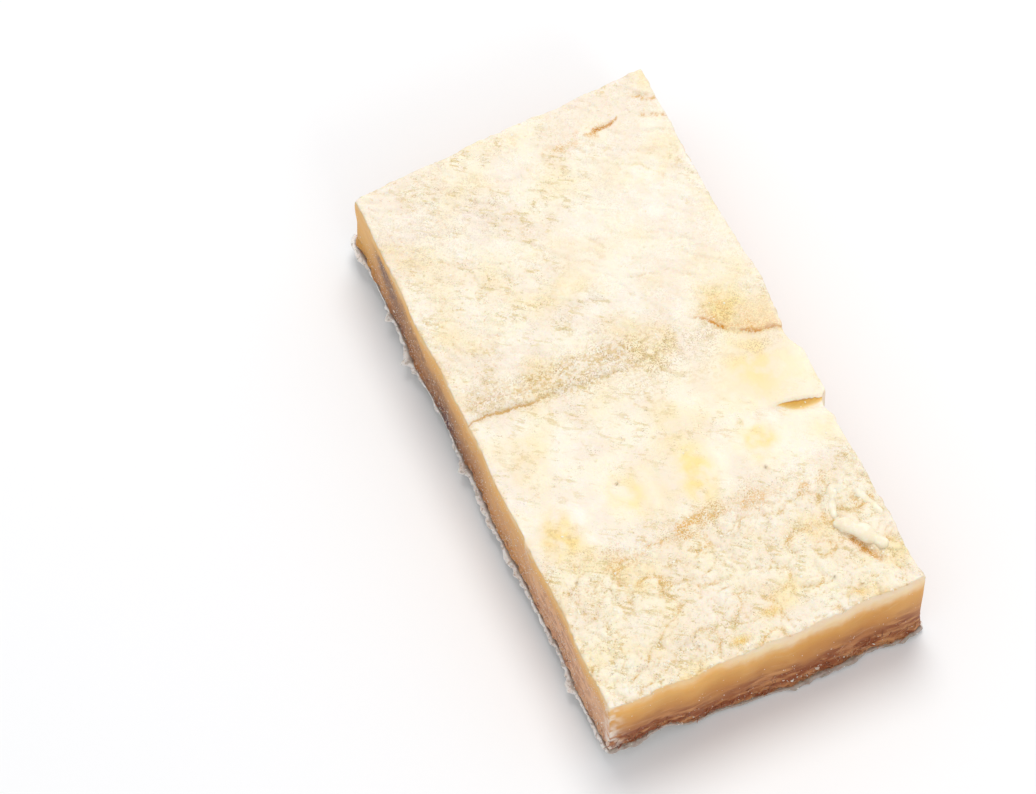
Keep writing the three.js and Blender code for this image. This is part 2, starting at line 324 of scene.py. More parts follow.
def salted_face(x, y):
    """Height of the dried face at each point, and how strongly each stain, crust and painted shade shows
    there.
    """

    def patchy(size, layer, low, high):
        return smooth(bumps(x, y, size, layer), low, high)

    warp_x = x + 1.1 * bumps(x, y, 3.5, 31)
    warp_y = y + 1.1 * bumps(x, y, 3.5, 32)
    wobble = 0.9 * bumps(x, y, 6, 20) + 0.45 * bumps(x, y, 1.7, 21)
    ledge = flake_ledge(x, y, wobble)
    crease = long_crease(x, y, wobble)
    pad = smooth_pad(x, y, wobble)
    segments = muscle_segments(x, y)
    near = lumpy_end(x, y, warp_x, warp_y)
    sleek = np.clip(pad.shows + 0.85 * bell(y - segment_middle, 9) + 0.3 * bell(y + 10, 9), 0, 1)
    sleek = sleek * (1 - near.shows)
    far_half = smooth(y, 2, 16)
    rough_half = far_half + 0.35 * (1 - far_half) * (1 - sleek)

    height = slab_height + 0.8 * bumps(x, y, 38, 10) + 0.25 * bumps(x, y, 11, 11)
    height += ledge.height + crease.height + pad.height + segments.height + near.height
    height += rough_half * slanting_fibres(warp_x, warp_y)

    # loose grain nearly everywhere
    grain = curds(warp_x + 0.3 * warp_y, warp_y, 1.3, 8)
    gritty = crease.shows * bell(crease.beyond - 3, 5) + bell(y - granular_middle, 4) + 0.25
    gritty = 0.34 * np.clip(gritty, 0, 1) * (grain - 0.5)
    height += (1 - 0.85 * sleek) * (gritty + 0.16 * bumps(x, y, 1.1, 9))

    # splits, and the beds of the flakes that stand up
    # the hollow beside the curled flake, coloured orange and rust below: partly its own colour, partly
    # painted shadow of the flake
    beside_curl = bar(x, y, *hollow_by_curl)
    rumples = bars(x, y, corner_rumples)
    height += 0.5 * np.clip(bars(x, y, curl_beds), 0, 1) - 1.3 * beside_curl
    height -= 0.5 * bar(x, y, *far_split) + 0.5 * rumples

    # what the stains follow
    # crevice is 1 where the face lies below its surroundings: tan is laid deeper there, as in the creases
    # of the near end, and white is kept out
    crevice = smooth(blurred(height, 3) - height, 0.05, 0.35) * (1 - sleek)
    pale = patchy(10, 66, -0.05, 0.4)
    flecked = patchy(2.2, 97, -0.2, 0.25)
    finely_flecked = patchy(1.3, 71, -0.35, 0.2)
    rumples = rumples * finely_flecked
    granular = bell(y - granular_middle, 4.2) * patchy(6, 69, -0.4, 0.2)
    thin_line = bars(x, warp_y, granular_lines) * patchy(4, 72, -0.5, 0)
    clots = 1.2 * spots(x, y, granular_clots) * patchy(3, 70, -0.35, 0.15)
    near_spots = spots(x, y, near_end_spots)
    clot_core = bars(warp_x, warp_y, far_clot_cores)
    far_clot = 1.2 * clot_core + flecked * spots(x, y, far_clot_stains)
    below_ledge = spots(x, y, below_ledge_spots)
    in_patches = patchy(3.5, 65, -0.6, 0.3)
    patch = in_patches * spots(x, y, [first_patch])
    patches = patch + in_patches * spots(x, y, other_patches)
    clean = spot(x, y, (29, 47), 15, 28) + patchy(15, 98, -0.05, 0.3)
    stains = {
        "tan": 0.8 * crease.band + 0.3 * ledge.slope + 0.15 * granular + 0.35 * below_ledge
        + 0.5 * near.creases + crevice * (0.2 + 0.5 * crease.band)
        + 0.2 * bell(y + 7, 6) * (x < 30) * patchy(7, 67, -0.1, 0.3)
        + patch * flecked + 0.5 * far_clot + rumples + 0.6 * flecked * spots(x, y, olive_spots)
        + 0.12 * rough_half * (1 - pale),
        "orange": 0.62 * clots + 0.45 * thin_line + 0.7 * near_spots + 0.16 * granular
        + far_clot + 0.9 * beside_curl + 0.22 * patch + 0.35 * rumples
        + 0.5 * ledge.slope * patchy(5, 63, -0.3, 0.2)
        + 0.95 * ledge.shows * bell(ledge.beyond - 1.2, 1.5) * patchy(5, 60, -0.7, -0.2)
        + 0.5 * near.creases * patchy(9, 64, -0.3, 0.25),
        "yellow": 1.4 * patches + 0.5 * patch + 0.45 * pad.shows + ledge.slope
        + 0.4 * patchy(14, 61, -0.05, 0.4) + 0.16 * near.shows + near_spots,
        "white": 0.55 * segments.walls * patchy(6, 68, -0.5, 0.1)
        + 0.3 * near.shows * near.clusters * smooth(near.lumps, 0, 0.5) * (1 - near.creases)
        + 0.4 * pale * (1 - crevice) + 0.5 * spot(x, y, (30, 50), 20, 30) * (1 - crevice),
        "grey": spots(x, y, grey_spots) + 0.5 * below_ledge,
        "sand": 0.9 * crease.band + 0.35 * ledge.slope + 0.55 * granular + 0.7 * below_ledge
        + 0.75 * clots + far_clot + 0.3 * near.creases + 0.12 * rough_half + 0.1 * (1 - sleek),
        "sleek": sleek,
        "clean": far_half * np.clip(clean, 0, 1),
        "grit": spots(x, y, grit_specks) + 0.12 * clot_core * finely_flecked,
        "rust": clot_core * (0.4 + 0.6 * finely_flecked) + 0.4 * flecked * spot(x, y, (25, 77), 4, 1.5)
        + 0.35 * rumples + 0.45 * beside_curl + 0.12 * clots * finely_flecked
        + 0.3 * ledge.shows * bell(ledge.beyond - 0.6, 0.9) * finely_flecked,
        # the dark orange line on the ledge's step face: partly its own colour, partly painted shade of the
        # step
        "ledge": smooth(ledge.along, 0.02, 0.2) * patchy(4, 60, -0.35, 0.1),
        "to_ledge": 0.5 + ledge.beyond / line_span,
        # the orange line along the crack: partly its own colour, partly painted shade in the crack
        "crack": 1 - smooth(crease.along, 0.24, 0.4),
        "to_crack": 0.5 + (crease.beyond + 0.5) / line_span,
        # where the orange under the lip is painted: partly its underside, partly painted shadow of the lip
        "lip": pad.lip,
        "to_lip": pad.to_lip,
        "crumbs": 0.4 * near.shows * near.clusters + 0.3 * crease.band + 0.3 * granular
        + 0.08 * rough_half + spot(x, y, lip_crumbs, 1.2, 0.8),
    }
    return height, {name: np.clip(stain, 0, 1) for name, stain in stains.items()}


left_lift, far_lift = 3.4, 1.6
notch_place, notch_lift = (-29, -87), 2


def edge_lift(x, y):
    """How far the skin is off the table under a point of the outline."""
    to_left = left_lift * smooth(-x, 18, 32)
    to_far_end = far_lift * smooth(y, 30, slab_length / 2)
    notch = notch_lift * spot(x, y, notch_place, 5, 5)
    waves = 0.5 * bumps(x, y, 13, 70) + 0.5 * bumps(x, y, 29, 71) + 0.25 * bumps(x, y, 4, 72)
    return np.maximum(0.25, 0.7 + to_left + to_far_end + notch + waves)


def outline_of(across, along):
    """The outline in even steps, anticlockwise from the near left corner: u, v and side of each."""
    front = [(i / across, 0, front_side) for i in range(across)]
    right = [(1, j / along, right_side) for j in range(along)]
    far = [(1 - i / across, 1, far_side) for i in range(across)]
    left = [(0, 1 - j / along, left_side) for j in range(along)]
    return np.array(front + right + far + left).T


def evened(values, reach):
    """Values round a closed outline, each averaged with its neighbours on both sides."""
    wrapped = np.concatenate([values[-reach:], values, values[:reach]])
    window = np.ones(2 * reach + 1) / (2 * reach + 1)
    return np.convolve(wrapped, window, "valid")


def outward(x, y):
    """Unit directions out of a closed outline, smoothed over its corners."""
    run_x = evened(np.roll(x, -1) - np.roll(x, 1), 2)
    run_y = evened(np.roll(y, -1) - np.roll(y, 1), 2)
    run = np.hypot(run_x, run_y)
    return run_y / run, -run_x / run


def new_object(name, data):
    """Puts a mesh, a lamp or a camera into the scene."""
    made = bpy.data.objects.new(name, data)
    bpy.context.scene.collection.objects.link(made)
    return made


class Shell:
    """A growing closed mesh. Each ring or grid of points keeps its numbers, and faces join them."""

    def __init__(self, stain_names):
        self.points = []
        self.faces = []
        self.count = 0
        self.stains = {name: [] for name in stain_names}

    def add(self, x, y, z, stains):
        shape = np.shape(x)
        self.points.append(np.stack([x, y, z], axis=-1).reshape(-1, 3))
        for name, kept in self.stains.items():
            kept.append(np.broadcast_to(stains.get(name, 0.0), shape).ravel())
        numbers = np.arange(self.count, self.count + np.size(x)).reshape(shape)
        self.count += np.size(x)
        return numbers

    def join(self, upper, lower):
        """Faces between two rings of one count, both anticlockwise from above."""
        quads = [upper, lower, np.roll(lower, -1), np.roll(upper, -1)]
        self.faces.append(np.stack(quads, axis=-1).reshape(-1, 4))

    def sheet(self, numbers, facing_up=True):
        """Faces over a grid of points, whose rows run across and follow each other along."""
        quads = [numbers[:-1, :-1], numbers[:-1, 1:], numbers[1:, 1:], numbers[1:, :-1]]
        quads = quads if facing_up else quads[::-1]
        self.faces.append(np.stack(quads, axis=-1).reshape(-1, 4))

    def cap(self, ring, facing_up):
        self.faces.append([ring if facing_up else ring[::-1]])

    def mesh_object(self, name, shift):
        points = (np.concatenate(self.points) * mm + shift).tolist()
        faces = [list(map(int, face)) for group in self.faces for face in group]
        mesh = bpy.data.meshes.new(name)
        mesh.from_pydata(points, [], faces)
        for stain, kept in self.stains.items():
            values = np.concatenate(kept).astype(np.float32)
            mesh.attributes.new(stain, "FLOAT", "POINT").data.foreach_set("value", values)
        mesh.shade_smooth()
        return new_object(name, mesh)


def even_grid(across, along):
    """Shares u and v of an even grid of points, whose rows run across and follow each other along."""
    return np.meshgrid(np.linspace(0, 1, across + 1), np.linspace(0, 1, along + 1))


def rim_of(grid):
    """The numbers of a grid's border points, anticlockwise from the near left corner."""
    return np.concatenate([grid[0, :-1], grid[:-1, -1], grid[-1, :0:-1], grid[:0:-1, 0]])


front_side, right_side, far_side, left_side = range(4)
foot_stands_out = np.array([0.6, -0.8, 2.0, 0.7])  # by side, in the order above
front_swell = 1.5
wall_height = 29
foot_levels, foot_profile = (0, 0.22, 0.5, 0.8, 0.955), (1, 0.45, 0.12, 0.02, 0)
rim_draw, rim_reach = 0.35, 2.5


def ring_round_slab(across, along):
    """The outline with its directions outward, and how far the foot of the wall stands out there."""
    u, v, side = outline_of(across, along)
    x, y = plan_point(u, v)
    out_x, out_y = outward(x, y)
    side = side.astype(int)
    foot = evened(foot_stands_out[side], 4)
    foot = foot + front_swell * (side == front_side) * smooth(x, -16, 2)
    return SimpleNamespace(u=u, v=v, side=side, x=x, y=y, out_x=out_x, out_y=out_y, foot=foot)


def flat_middle(ring):
    """The outline drawn in to the part that lies flat on the table."""
    return plan_point(0.5 + (ring.u - 0.5) * flat_share, 0.5 + (ring.v - 0.5) * flat_share)


def wall_relief(foot, run, level, share):
    """How far one level of the sawn sides stands out from the outline."""
    rough_foot = 1 - smooth(share, 0.05, 0.3)
    at_rim = smooth(share, 0.9, 0.965)
    stand_out = foot * np.interp(share, foot_levels, foot_profile)
    stand_out += 0.25 * bumps(run, level, 9, 81) * smooth(share, 0, 0.2)
    stand_out += 0.6 * rough_foot * (curds(run / 2, level * 1.4, 1.7, 83) - 0.5)
    stand_out += 0.5 * rough_foot * bumps(run / 3, level, 0.9, 91)
    stand_out += at_rim * (0.9 * folds(run, level, 4, 84) - 0.15)
    return stand_out - rim_draw * (np.clip(share - 0.94, 0, 1) / 0.06) ** 2


# places of single stains on the sawn sides
slate_stain = ((21, 1), 9, 8)
salted_corner = ((-46, -87.5), 3.2, 3.2)
thick_crust, thick_crust_depth = ((47, -24), 8, 8), 7
dark_streak = 61


def sawn_side(ring, share):
    """One level of the sawn sides, 1 at the rim and 0 at the foot: how far it stands out, and stains, on
    the left partly painted shade.
    """
    x, y, side = ring.x, ring.y, ring.side
    run = np.where(side % 2 == 0, x, y)
    level = np.full_like(x, share * wall_height)
    depth = 1 - share
    front, left = side == front_side, side == left_side
    unseen = (side == right_side) | (side == far_side)

    def patchy(size, layer, low, high):
        return smooth(bumps(run, level, size, layer), low, high)

    # the pale crust under the rim, of uneven depth
    pale_half = smooth(x, -20, 0)
    front_crust = 3.4 * pale_half + 0.8 * smooth(x, 5, 25)
    crust = np.where(unseen, 2.5, np.where(front, front_crust, 0.5))
    crust = crust + thick_crust_depth * spot(x, y, *thick_crust)
    ragged = 2.2 * bumps(run, level * 0, 8, 85) + 1.2 * bumps(run, level, 1.7, 86) + 1.2
    below_crust = wall_height * depth + (ragged - crust)
    warm = np.where(unseen, 0.2, np.where(front, 0.5 - 0.2 * pale_half, 0.5))
    beside_crust = bell(below_crust - 1.2, 2.6)

    # what the stains follow
    worn = depth + (0.13 * bumps(run, level, 9, 87) + 0.08 * bumps(run, level, 2.5, 88))
    brown_foot = smooth(worn + 0.06 * front, 0.55, 0.95)
    far_amber = left * smooth(y, 66, 80)
    streak = bell(y - dark_streak + (depth - 0.5) * 12, 6) * smooth(depth, 0.05, 0.25)
    streak = streak * (1 - 0.6 * smooth(depth, 0.45, 0.7))
    slate = spot(y, level, *slate_stain)
    rosy_stretch = smooth(-y, 25, 48) * smooth(worn, 0.15, 0.5)
    grey_start = 0.35 - 0.2 * smooth(y, 20, 45)
    grey_stretch = smooth(worn, grey_start, grey_start + 0.27)
    grey_stretch = grey_stretch * smooth(y, -12, 18) * (1 - smooth(y, 52, 66))
    salt_high = (0.3 + 0.15 * bell(y + 45, 14)) * smooth(depth, 0.02, 0.12)
    salt_low = smooth(worn, 0.35, 0.9) * patchy(4, 89, -0.4, 0.3)
    corner = spot(x, y, *salted_corner) * patchy(2.2, 90, -0.3, 0.15)
    edge_salt = left * bell(y + 35, 3.5) * bell(depth - 0.14, 0.14)
    # the near part of the left side is painted darker, with tan, mauve and grey: partly the muscle's own
    # colour, partly painted shade
    near_left = left * (1 - far_amber)
    stains = {
        "amber": warm + (1 - warm) * smooth(below_crust, -0.2, np.where(front, 6.2, 4.2)),
        "yellow": np.where(front, 0.5, 0.3) * beside_crust + 0.4 * left * (1 - smooth(depth, 0.02, 0.1)),
        "depth": depth * (1 - 0.75 * far_amber) * np.where(left, 0.85, 1),
        "brown": brown_foot * np.where(left, 0.3, np.where(front, 1.12, 0.7)),
        "grey": left * grey_stretch + unseen * 0.3 * brown_foot,
        "dusk": near_left * np.clip(1.2 * streak + slate, 0, 1),
        "rosy": left * rosy_stretch + front * 0.25 * brown_foot,
        "frost": left * (salt_high + 0.7 * salt_low) * (1 - 0.7 * far_amber)
        + unseen * (0.12 + 0.3 * brown_foot)
        + front * (0.03 + 0.05 * brown_foot),
        "white": 0.9 * corner + 0.6 * edge_salt * patchy(1.4, 95, -0.2, 0.3),
        "veins": np.where(unseen, 0.45, 0.14) * patchy(9, 94, -0.3, 0.2),
        "tan": near_left * (0.35 + 0.35 * smooth(-y, -5, 30)) * smooth(depth, 0.05, 0.35),
        "mauve": near_left * (0.25 + 0.6 * bell(y + 58, 18)) * smooth(depth, 0.15, 0.4),
        "fibres": np.where(left, 0.12, 1.0) * smooth(worn, 0.78, 0.95),
        "frills": np.where(left, 0.5, 1.0) * smooth(worn, 0.86, 0.98),
        "sleek": 1.0,
    }
    stand_out = wall_relief(ring.foot, run, level, share)
    return stand_out, {name: np.clip(stain, 0, 1) for name, stain in stains.items()}


across = round(slab_width / face_step)
along = round(slab_length / face_step)
grid_u, grid_v = even_grid(across, along)
for shares, length in ((grid_u, slab_width), (grid_v, slab_length)):
    by_start = np.clip(1 - shares * length / rim_reach, 0, 1)
    by_end = np.clip(1 - (1 - shares) * length / rim_reach, 0, 1)
    shares += rim_draw / length * (by_start**2 - by_end**2)
face_x, face_y = plan_point(grid_u, grid_v)
face_z, face_stains = salted_face(face_x, face_y)
from_edge = np.minimum(
    np.minimum(grid_u, 1 - grid_u) * slab_width, np.minimum(grid_v, 1 - grid_v) * slab_length
)
rim_drop, rim_drop_reach = 0.2, 0.8
rim_lump_size, rim_lump_height, rim_lumps_in, rim_lump_reach = 3.3, 0.9, 1.2, 1.6
rim_lumps = rim_lump_height * folds(face_x, face_y, rim_lump_size, 92) - 0.15
face_z -= rim_drop * bell(from_edge - rim_draw, rim_drop_reach)
face_z += bell(from_edge - rim_lumps_in, rim_lump_reach) * rim_lumps
crusted = bell(from_edge, 1.3) * smooth(bumps(face_x, face_y, 5, 96), -0.3, 0.3)
worn_rim = bell(from_edge, 0.9) * (1 - crusted) * (grid_u < 0.98) * (grid_v < 0.98)
face_stains["white"] = np.clip(face_stains["white"] + 0.35 * crusted, 0, 1)
face_stains["yellow"] = np.clip(face_stains["yellow"] + 0.2 * (bell(from_edge, 1.0) - crusted), 0, 1)
face_stains["amber"] = 0.35 * worn_rim

colour_stains = ["tan", "mauve", "orange", "yellow", "white", "grey", "dusk", "rosy", "rust", "brown"]
line_stains = ["ledge", "to_ledge", "crack", "to_crack", "lip", "to_lip"]
cut_stains = ["amber", "depth", "frost", "veins", "fibres", "frills"]
crust_stains = ["crumbs", "sand", "sleek", "clean", "grit"]
flesh_shell = Shell(colour_stains + line_stains + cut_stains + crust_stains)
face = flesh_shell.add(face_x, face_y, face_z, face_stains)
flesh_shell.sheet(face)

ring = ring_round_slab(across, along)
rim = rim_of(face)
rim_height = flesh_shell.points[0][rim][:, 2]
foot_height = edge_lift(ring.x, ring.y) + skin_below
upper = rim
for share in 1 - np.linspace(0, 1, wall_rows + 1)[1:] ** 1.25:
    stand_out, stains = sawn_side(ring, share)
    x = ring.x + ring.out_x * stand_out
    y = ring.y + ring.out_y * stand_out
    z = foot_height + (rim_height - foot_height) * share
    lower = flesh_shell.add(x, y, z, stains)
    flesh_shell.join(upper, lower)
    upper = lower
flat_x, flat_y = flat_middle(ring)
flat = flesh_shell.add(flat_x, flat_y, np.full_like(flat_x, skin_below), {"amber": 1, "depth": 1})
flesh_shell.join(upper, flat)
flesh_shell.cap(flat, facing_up=False)

# the plan above is laid on the frame by the middles of the two boxes
plan_points = np.concatenate(flesh_shell.points)
plan_middle = (plan_points.min(0) + plan_points.max(0)) / 2 * mm
frame_middle = (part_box("flesh")[0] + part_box("flesh")[1]) / 2
shift = np.array([frame_middle.x - plan_middle[0], frame_middle.y - plan_middle[1], 0])
flesh = flesh_shell.mesh_object("dried_flesh", shift)


def new_node(tree, kind, settings=(), inputs=()):
    """Adds a node to a tree: its settings first, then the values, sockets or wires of its inputs."""
    added = tree.nodes.new(kind)
    for name, value in dict(settings).items():
        setattr(added, name, value)
    for name, value in dict(inputs).items():
        value = getattr(value, "socket", value)
        if isinstance(value, bpy.types.NodeSocket):
            tree.links.new(value, added.inputs[name])
        else:
            added.inputs[name].default_value = value
    return added


class Wire:
    """One socket of a material. Arithmetic on wires adds the Math nodes that it needs."""

    def __init__(self, tree, socket):
        self.tree = tree
        self.socket = socket

    def node(self, kind, settings=(), inputs=(), output=0):
        return Wire(self.tree, new_node(self.tree, kind, settings, inputs).outputs[output])

    def maths(self, operation, first, second):
        return self.node("ShaderNodeMath", {"operation": operation}, {0: first, 1: second})

    def __add__(self, other):
        return self.maths("ADD", self, other)

    def __sub__(self, other):
        return self.maths("SUBTRACT", self, other)

    def __rsub__(self, other):
        return self.maths("SUBTRACT", other, self)

    def __mul__(self, other):
        return self.maths("MULTIPLY", self, other)

    __radd__ = __add__
    __rmul__ = __mul__

    def near(self, value, narrow, wide):
        """1 where the wire is at the value, and 0 where it is more than the wide distance away."""
        away = self.maths("ABSOLUTE", self - value, 0.0)
        return 1 - away.rise(narrow, wide)

    def wrapped(self):
        """The part of the value after its whole number."""
        return self.maths("FRACT", self, 0.0)

    def rise(self, low, high):
        """0 below low, 1 above high, and smooth between them."""
        ends = {"Value": self, "From Min": low, "From Max": high}
        return self.node("ShaderNodeMapRange", {"interpolation_type": "SMOOTHSTEP"}, ends)

    def cloud(self, size, detail, stretch=(1, 1, 1), turn=(0, 0, 0)):
        """Noise over the places that this wire holds, with features of a size in metres."""
        place = self
        if stretch != (1, 1, 1) or turn != (0, 0, 0):
            squeezed = tuple(1 / s for s in stretch)
            turned = self.node("ShaderNodeMapping", {}, {"Vector": self, "Rotation": turn})
            place = turned.node("ShaderNodeMapping", {}, {"Vector": turned, "Scale": squeezed})
        return place.node("ShaderNodeTexNoise", {}, {"Vector": place, "Scale": 1 / size, "Detail": detail})

    def grains(self, size):
        """Distance to the nearest of scattered points, 0 at a point, with a spacing in metres."""
        return self.node("ShaderNodeTexVoronoi", {}, {"Vector": self, "Scale": 1 / size})

    def over(self, under, colour):
        """A colour laid over another where this mask is 1."""
        colours = {"Factor": self, 6: under, 7: colour}
        return self.node("ShaderNodeMix", {"data_type": "RGBA"}, colours, output=2)

    def painted(self, name):
        """A mask that the mesh carries."""
        return self.node("ShaderNodeAttribute", {"attribute_name": name}, output="Fac")


def new_finish(name, fixed):
    """A material with the sockets that are the same all over. Returns it, its places and its shader."""
    material = bpy.data.materials.new(name)
    material.use_nodes = True
    tree = material.node_tree
    shader = tree.nodes["Principled BSDF"]
    for socket, value in fixed.items():
        shader.inputs[socket].default_value = value
    places = tree.nodes.new("ShaderNodeTexCoord")
    return material, Wire(tree, places.outputs["Object"]), shader


def feed(shader, colour, roughness, height, depth):
    """Plugs the varying colour, roughness and relief into the shader."""
    colour.tree.links.new(colour.socket, shader.inputs["Base Color"])
    colour.tree.links.new(roughness.socket, shader.inputs["Roughness"])
    relief = height.node("ShaderNodeBump", {}, {"Height": height, "Distance": depth, "Strength": 1.0})
    colour.tree.links.new(relief.socket, shader.inputs["Normal"])


def shade(red, green, blue):
    return (red, green, blue, 1.0)


def coated(colour, *coats):
    """A colour with others laid over it in turn, each given by its mask and its red, green and blue."""
    for mask, paint in coats:
        colour = mask.over(colour, shade(*paint))
    return colour


waxy = {
    "Subsurface Weight": 0.22,
    "Subsurface Radius": (1.0, 0.5, 0.22),
    "Subsurface Scale": 2.2 * mm,
    "Specular IOR Level": 0.28,
}
flesh_finish, place, shader = new_finish("dried_flesh", waxy)
cloud, painted = place.cloud, place.painted
broad = cloud(14 * mm, 2)
middling = cloud(4.5 * mm, 3)
fine = cloud(1.1 * mm, 3)
dust = cloud(0.42 * mm, 2)
slant = cloud(0.9 * mm, 3, stretch=(5, 1, 1), turn=(0, 0, math.radians(35)))

# the dried face, cream with what stained it
rough = 1 - painted("sleek")
yellow = painted("yellow") * (0.35 + 0.6 * middling.rise(0.3, 0.6))
flecks = cloud(3.2 * mm, 2, turn=(0, 0, 1)).rise(0.44, 0.6) * (1 - painted("clean"))
fibres = slant.rise(0.53, 0.6) * flecks * rough
tan = painted("tan") * (0.1 + fine.rise(0.46, 0.6))
grey = painted("grey") * 0.65 * dust.rise(0.5, 0.6)
sandy = painted("sand") * dust.rise(0.53, 0.59) * middling.rise(0.38, 0.58)
orange = painted("orange") * (0.25 + 0.85 * dust.rise(0.42, 0.56))
pits = cloud(0.36 * mm, 1).rise(0.64, 0.69) * flecks * rough
cracks = cloud(2.6 * mm, 3, stretch=(1.6, 1, 1), turn=(0, 0, 0.6)).near(0.5, 0.004, 0.018)
cracks = cracks * flecks * rough * (0.35 + painted("tan"))
ragged = (fine - 0.5) * 0.16 + (dust - 0.5) * 0.12
# the ledge line: dark orange on the step face, partly its own colour and partly painted shade of the step
to_ledge = painted("to_ledge") + ragged
ledge = to_ledge.near(0.47, 0.02, 0.07) * painted("ledge") * (0.35 + 0.65 * fine.rise(0.42, 0.54))
# the orange line along the crack: partly its own colour, partly painted shade in the crack
to_crack = painted("to_crack") + ragged
crack = (to_crack.near(0.5, 0.0, 0.05) + to_crack.near(0.95, 0.0, 0.04) * 0.6) * painted("crack")
rust = painted("rust") * (0.35 + 0.65 * dust.rise(0.42, 0.56))
# below the lip: where its amber underside and its painted shadow go
to_lip = painted("to_lip") + ragged * 0.15
under_lip = (1 - to_lip.rise(0.48, 0.5)) * painted("lip")
cream = coated(
    shade(0.885, 0.79, 0.665),
    (broad.rise(0.42, 0.6), (0.92, 0.85, 0.70)),
    (middling.rise(0.5, 0.66) * 0.5, (0.93, 0.88, 0.77)),
    (yellow, (0.91, 0.73, 0.33)),
    (fibres * 0.75, (0.72, 0.58, 0.30)),
    (tan, (0.72, 0.54, 0.27)),
    (grey, (0.64, 0.53, 0.47)),
    (sandy * 0.95, (0.52, 0.34, 0.15)),
    (orange, (0.74, 0.43, 0.11)),
    (pits * 0.75, (0.36, 0.26, 0.13)),
    (cracks, (0.58, 0.43, 0.19)),
    (ledge, (0.64, 0.27, 0.02)),
    (crack * 0.9, (0.64, 0.36, 0.10)),
    (rust, (0.58, 0.22, 0.025)),
    (painted("grit") * 0.9, (0.22, 0.10, 0.02)),
    # orange under the lip, darkest in a brown line at its edge: partly the lip's underside, partly painted
    # shadow of the lip
    (under_lip * to_lip.rise(0.12, 0.34), (0.88, 0.64, 0.26)),
    (under_lip * to_lip.rise(0.28, 0.48), (0.80, 0.46, 0.10)),
    (to_lip.near(0.49, 0.0, 0.03) * painted("lip") * 0.7, (0.50, 0.22, 0.04)),
)

# the waxy muscle of the sawn sides, amber at the rim and brown at the foot
streaked = cloud(2.4 * mm, 4, stretch=(3, 3, 1))
streaks = cloud(1.8 * mm, 4, stretch=(3.5, 3.5, 1))
mottled = 0.5 + 0.5 * cloud(1.4 * mm, 4).rise(0.38, 0.62)
patchy = cloud(2 * mm, 4, stretch=(1.3, 1.3, 1)).rise(0.4, 0.62)
bent = cloud(30 * mm, 1) * 4.5 + cloud(7 * mm, 2) * 0.7
rising = place.node("ShaderNodeSeparateXYZ", {}, {"Vector": place}, output="Z")
vein_gap = 5 * mm
vein = (rising * (1 / vein_gap) + bent + fine * 0.12).wrapped()
vein = vein.near(0.5, 0.0, 0.1) * painted("veins") * streaked.rise(0.4, 0.6)
frost = painted("frost") * (1 - place.grains(0.75 * mm).rise(0.14, 0.34)) * fine.rise(0.38, 0.54)
muscle = coated(
    shade(0.90, 0.48, 0.105),
    (painted("depth").rise(-0.1, 0.85), (0.41, 0.135, 0.027)),
    (broad.rise(0.35, 0.7) * 0.25, (0.84, 0.50, 0.17)),
    (streaked.rise(0.42, 0.7) * 0.14, (0.50, 0.24, 0.08)),
    # tan, mauve and grey, mainly on the near part of the left side: partly the muscle's own colour, partly
    # painted shade
    (painted("tan"), (0.80, 0.42, 0.165)),
    (painted("rosy") * 0.85, (0.78, 0.45, 0.27)),
    (painted("mauve") * patchy, (0.46, 0.20, 0.115)),
    (painted("grey") * mottled, (0.34, 0.155, 0.07)),
    (painted("brown") * streaks.rise(0.3, 0.6), (0.25, 0.062, 0.014)),
    (painted("dusk") * mottled * streaks.rise(0.2, 0.45), (0.11, 0.06, 0.075)),
    (vein, (0.86, 0.66, 0.42)),
    (frost * 0.9, (0.93, 0.79, 0.64)),
)

# the two together, with the white crust that covers both
white = painted("white") * (0.3 + 0.6 * middling.rise(0.35, 0.6))
colour = coated(painted("amber").over(cream, muscle), (white, (0.94, 0.89, 0.80)))
waxed = painted("amber") * (1 - painted("frost"))
roughness = 0.8 - waxed * 0.4 + fine * 0.1
relief = (fine + dust * 0.5) * (0.12 + rough * 0.88) + frost * 0.6
feed(shader, colour, roughness, relief, 0.3 * mm)
flesh.data.materials.append(flesh_finish)
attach(flesh, "root")
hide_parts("flesh")


# Curled flakes: strips of muscle at the near right that came loose in the brine, rolled over and dried
# smooth and ivory-coloured on the face.
def rolled_flake(name, path, thickness, raised, seed):
    """A tapering roll along a line of places on the face, flattened and half sunk into it."""
    stations, around, flattened = 26, 14, 0.8
    ends = np.linspace(0, len(path) - 1, stations)
    x, y = (np.interp(ends, range(len(path)), [at[axis] for at in path]) for axis in (0, 1))
    bend = 0.3
    x, y = x + bend * bumps(x, y, 2.5, seed), y + bend * bumps(x, y, 2.5, seed + 1)
    z = np.interp(ends, range(len(path)), salted_face(*np.array([path]).T)[0][:, 0])
    run_x, run_y = np.gradient(x), np.gradient(y)
    run = np.hypot(run_x, run_y)
    share = np.linspace(0, 1, stations)
    taper = np.clip(4 * share * (1 - share), 0.003, 1) ** 0.3
    thick = thickness / 2 * taper * (1 + 0.45 * bumps(x, y, 2.6, seed + 2))
    roll = Shell([])
    rings = []
    for turn in np.linspace(0, 2 * math.pi, around, endpoint=False):
        sideways, up = np.cos(turn) * thick, np.sin(turn) * thick * flattened
        rings.append([x - run_y / run * sideways, y + run_x / run * sideways, z + raised + up])
    rows = [roll.add(*np.array(rings)[:, :, i].T, {}) for i in range(stations)]
    for first, second in zip(rows, rows[1:]):
        roll.join(first, second)
    roll.cap(rows[0], facing_up=True)
    roll.cap(rows[-1], facing_up=False)
    flake = roll.mesh_object(name, shift)
    flake.data.materials.append(roll_finish)
    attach(flake, "root")


